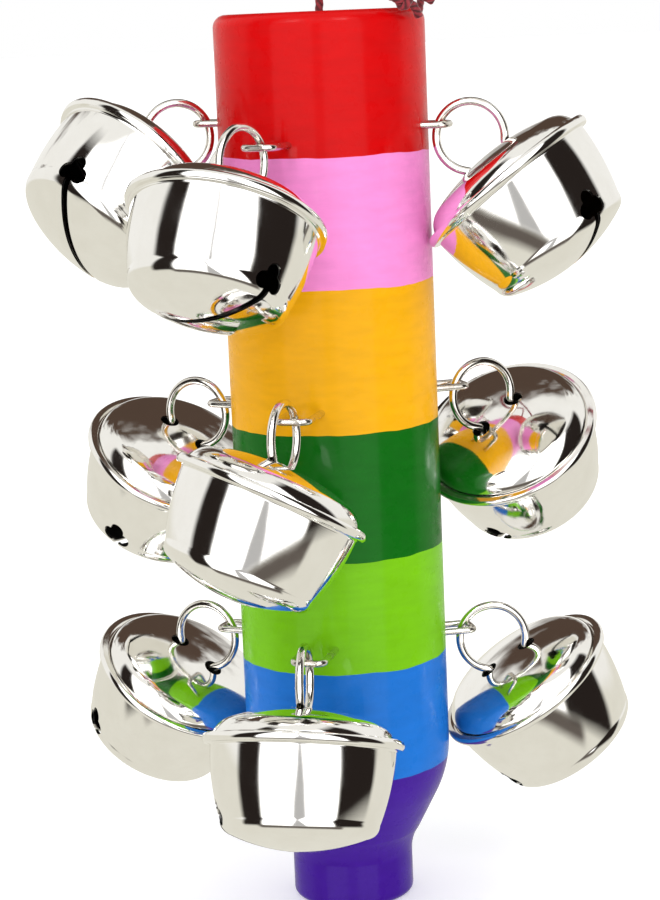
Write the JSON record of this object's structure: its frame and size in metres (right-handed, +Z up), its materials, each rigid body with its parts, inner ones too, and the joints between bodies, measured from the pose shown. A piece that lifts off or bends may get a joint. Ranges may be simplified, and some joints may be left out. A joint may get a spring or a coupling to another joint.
{
  "type": "sleigh bells",
  "caption": "Hand sleigh bells: a turned wooden stick painted in rainbow bands, with rows of loose nickel jingle bells on wire loops and a cord at the top.",
  "frame": {"origin": "centre of the stick's flat foot face", "axes": "+Z up the stick from the foot to the cord end; -Y is the front, towards the viewer; +X is the viewer's right"},
  "size_m": [0.0847, 0.0841, 0.1373],
  "materials": {
    "painted_wood": "gloss paint in seven bands",
    "staple_wire": "bright drawn wire",
    "loop_wire": "nickel-plated wire",
    "nickel_cap": "polished nickel plate",
    "nickel_cup": "polished nickel plate",
    "pellet_steel": "rolled steel",
    "cord": "twisted maroon cord"
  },
  "bodies": {
    "root": {"stick": "painted_wood", "staples": "staple_wire", "cord": "cord", "cord_knot": "cord"},
    "upper_front_loop": {"upper_front_loop": "loop_wire"},
    "upper_front_bell": {"upper_front_cap": "nickel_cap", "upper_front_cup": "nickel_cup"},
    "upper_front_pellet": {"upper_front_pellet": "pellet_steel"},
    "upper_right_loop": {"upper_right_loop": "loop_wire"},
    "upper_right_bell": {"upper_right_cap": "nickel_cap", "upper_right_cup": "nickel_cup"},
    "upper_right_pellet": {"upper_right_pellet": "pellet_steel"},
    "upper_back_loop": {"upper_back_loop": "loop_wire"},
    "upper_back_bell": {"upper_back_cap": "nickel_cap", "upper_back_cup": "nickel_cup"},
    "upper_back_pellet": {"upper_back_pellet": "pellet_steel"},
    "upper_left_loop": {"upper_left_loop": "loop_wire"},
    "upper_left_bell": {"upper_left_cap": "nickel_cap", "upper_left_cup": "nickel_cup"},
    "upper_left_pellet": {"upper_left_pellet": "pellet_steel"},
    "middle_front_loop": {"middle_front_loop": "loop_wire"},
    "middle_front_bell": {"middle_front_cap": "nickel_cap", "middle_front_cup": "nickel_cup"},
    "middle_front_pellet": {"middle_front_pellet": "pellet_steel"},
    "middle_right_loop": {"middle_right_loop": "loop_wire"},
    "middle_right_bell": {"middle_right_cap": "nickel_cap", "middle_right_cup": "nickel_cup"},
    "middle_right_pellet": {"middle_right_pellet": "pellet_steel"},
    "middle_left_loop": {"middle_left_loop": "loop_wire"},
    "middle_left_bell": {"middle_left_cap": "nickel_cap", "middle_left_cup": "nickel_cup"},
    "middle_left_pellet": {"middle_left_pellet": "pellet_steel"},
    "lower_front_loop": {"lower_front_loop": "loop_wire"},
    "lower_front_bell": {"lower_front_cap": "nickel_cap", "lower_front_cup": "nickel_cup"},
    "lower_front_pellet": {"lower_front_pellet": "pellet_steel"},
    "lower_right_loop": {"lower_right_loop": "loop_wire"},
    "lower_right_bell": {"lower_right_cap": "nickel_cap", "lower_right_cup": "nickel_cup"},
    "lower_right_pellet": {"lower_right_pellet": "pellet_steel"},
    "lower_left_loop": {"lower_left_loop": "loop_wire"},
    "lower_left_bell": {"lower_left_cap": "nickel_cap", "lower_left_cup": "nickel_cup"},
    "lower_left_pellet": {"lower_left_pellet": "pellet_steel"}
  },
  "joints": [
    {"name": "upper_front_swing", "type": "hinge", "parent": "root", "child": "upper_front_loop", "pos_m": [-0.01106, -0.02054, 0.1102], "axis": [-0.7986, 0.6018, 0], "range_deg": [0, 90]},
    {"name": "upper_front_rock", "type": "hinge", "parent": "upper_front_loop", "child": "upper_front_bell", "pos_m": [-0.01271, -0.02273, 0.10564], "axis": [-0.5159, -0.6846, 0.515], "range_deg": [-3, 11]},
    {"name": "upper_front_rattle", "type": "slide", "parent": "upper_front_bell", "child": "upper_front_pellet", "axis": [0.2392, 0.4622, 0.8539], "range_m": [0, 0.009]},
    {"name": "upper_right_swing", "type": "hinge", "parent": "root", "child": "upper_right_loop", "pos_m": [0.02065, -0.00524, 0.1118], "axis": [-0.2588, -0.9659, 0], "range_deg": [0, 95]},
    {"name": "upper_right_rock", "type": "hinge", "parent": "upper_right_loop", "child": "upper_right_bell", "pos_m": [0.02384, -0.00609, 0.10764], "axis": [0.7559, -0.2026, 0.6225], "range_deg": [-16, 16]},
    {"name": "upper_right_rattle", "type": "slide", "parent": "upper_right_bell", "child": "upper_right_pellet", "axis": [-0.6013, 0.1611, 0.7826], "range_m": [0, 0.009]},
    {"name": "upper_back_swing", "type": "hinge", "parent": "root", "child": "upper_back_loop", "pos_m": [-0.00375, 0.02127, 0.1114], "axis": [0.9848, 0.1736, 0], "range_deg": [0, 95]},
    {"name": "upper_back_rock", "type": "hinge", "parent": "upper_back_loop", "child": "upper_back_bell", "pos_m": [-0.00432, 0.02449, 0.10721], "axis": [-0.1368, 0.776, 0.6157], "range_deg": [-12, 20]},
    {"name": "upper_back_rattle", "type": "slide", "parent": "upper_back_bell", "child": "upper_back_pellet", "axis": [0.038, -0.6169, 0.7861], "range_m": [0, 0.009]},
    {"name": "upper_left_swing", "type": "hinge", "parent": "root", "child": "upper_left_loop", "pos_m": [-0.02087, 0.00186, 0.113], "axis": [-0.3256, 0.9455, 0], "range_deg": [0, 70]},
    {"name": "upper_left_rock", "type": "hinge", "parent": "upper_left_loop", "child": "upper_left_bell", "pos_m": [-0.02483, 0.00049, 0.10973], "axis": [-0.5821, -0.2004, 0.788], "range_deg": [-30, 0]},
    {"name": "upper_left_rattle", "type": "slide", "parent": "upper_left_bell", "child": "upper_left_pellet", "axis": [0.6265, 0.5072, 0.5918], "range_m": [0, 0.009]},
    {"name": "middle_front_swing", "type": "hinge", "parent": "root", "child": "middle_front_loop", "pos_m": [-0.00701, -0.0245, 0.073], "axis": [-0.9397, 0.342, 0], "range_deg": [0, 65]},
    {"name": "middle_front_rock", "type": "hinge", "parent": "middle_front_loop", "child": "middle_front_bell", "pos_m": [-0.00769, -0.02637, 0.06807], "axis": [-0.3171, -0.8713, 0.3746], "range_deg": [0, 36]},
    {"name": "middle_front_rattle", "type": "slide", "parent": "middle_front_bell", "child": "middle_front_pellet", "axis": [0.4418, 0.2138, 0.8713], "range_m": [0, 0.009]},
    {"name": "middle_right_swing", "type": "hinge", "parent": "root", "child": "middle_right_loop", "pos_m": [0.0219, 0.00717, 0.0732], "axis": [0.4384, -0.8988, 0], "range_deg": [0, 90]},
    {"name": "middle_right_rock", "type": "hinge", "parent": "middle_right_loop", "child": "middle_right_bell", "pos_m": [0.02464, 0.0085, 0.06885], "axis": [0.7362, 0.3591, 0.5736], "range_deg": [-36, 0]},
    {"name": "middle_right_rattle", "type": "slide", "parent": "middle_right_bell", "child": "middle_right_pellet", "axis": [-0.3345, -0.5437, 0.7698], "range_m": [0, 0.009]},
    {"name": "middle_left_swing", "type": "hinge", "parent": "root", "child": "middle_left_loop", "pos_m": [-0.0205, 0.01064, 0.0716], "axis": [0.4848, 0.8746, 0], "range_deg": [0, 90]},
    {"name": "middle_left_rock", "type": "hinge", "parent": "middle_left_loop", "child": "middle_left_bell", "pos_m": [-0.02296, 0.012, 0.06709], "axis": [-0.7417, 0.4111, 0.5299], "range_deg": [-6, 26]},
    {"name": "middle_left_rattle", "type": "slide", "parent": "middle_left_bell", "child": "middle_left_pellet", "axis": [0.3723, -0.4049, 0.8352], "range_m": [0, 0.009]},
    {"name": "lower_front_swing", "type": "hinge", "parent": "root", "child": "lower_front_loop", "pos_m": [-0.00567, -0.02484, 0.039], "axis": [-0.9903, 0.1392, 0], "range_deg": [0, 50]},
    {"name": "lower_front_rock", "type": "hinge", "parent": "lower_front_loop", "child": "lower_front_bell", "pos_m": [-0.00593, -0.02673, 0.03404], "axis": [-0.1299, -0.9245, 0.3584], "range_deg": [-14, 18]},
    {"name": "lower_front_rattle", "type": "slide", "parent": "lower_front_bell", "child": "lower_front_pellet", "axis": [0.0844, 0.3498, 0.933], "range_m": [0, 0.009]},
    {"name": "lower_right_swing", "type": "hinge", "parent": "root", "child": "lower_right_loop", "pos_m": [0.02218, 0.00344, 0.037], "axis": [0.0175, -0.9998, 0], "range_deg": [0, 50]},
    {"name": "lower_right_rock", "type": "hinge", "parent": "lower_right_loop", "child": "lower_right_bell", "pos_m": [0.02515, 0.0035, 0.03259], "axis": [0.8289, 0.0145, 0.5592], "range_deg": [-14, 8]},
    {"name": "lower_right_rattle", "type": "slide", "parent": "lower_right_bell", "child": "lower_right_pellet", "axis": [-0.5512, -0.1488, 0.821], "range_m": [0, 0.009]},
    {"name": "lower_left_swing", "type": "hinge", "parent": "root", "child": "lower_left_loop", "pos_m": [-0.02067, 0.00933, 0.0376], "axis": [0.4848, 0.8746, 0], "range_deg": [0, 40]},
    {"name": "lower_left_rock", "type": "hinge", "parent": "lower_left_loop", "child": "lower_left_bell", "pos_m": [-0.02327, 0.01077, 0.03319], "axis": [-0.7251, 0.4019, 0.5592], "range_deg": [-12, 20]},
    {"name": "lower_left_rattle", "type": "slide", "parent": "lower_left_bell", "child": "lower_left_pellet", "axis": [0.4541, -0.3315, 0.827], "range_m": [0, 0.009]}
  ]
}
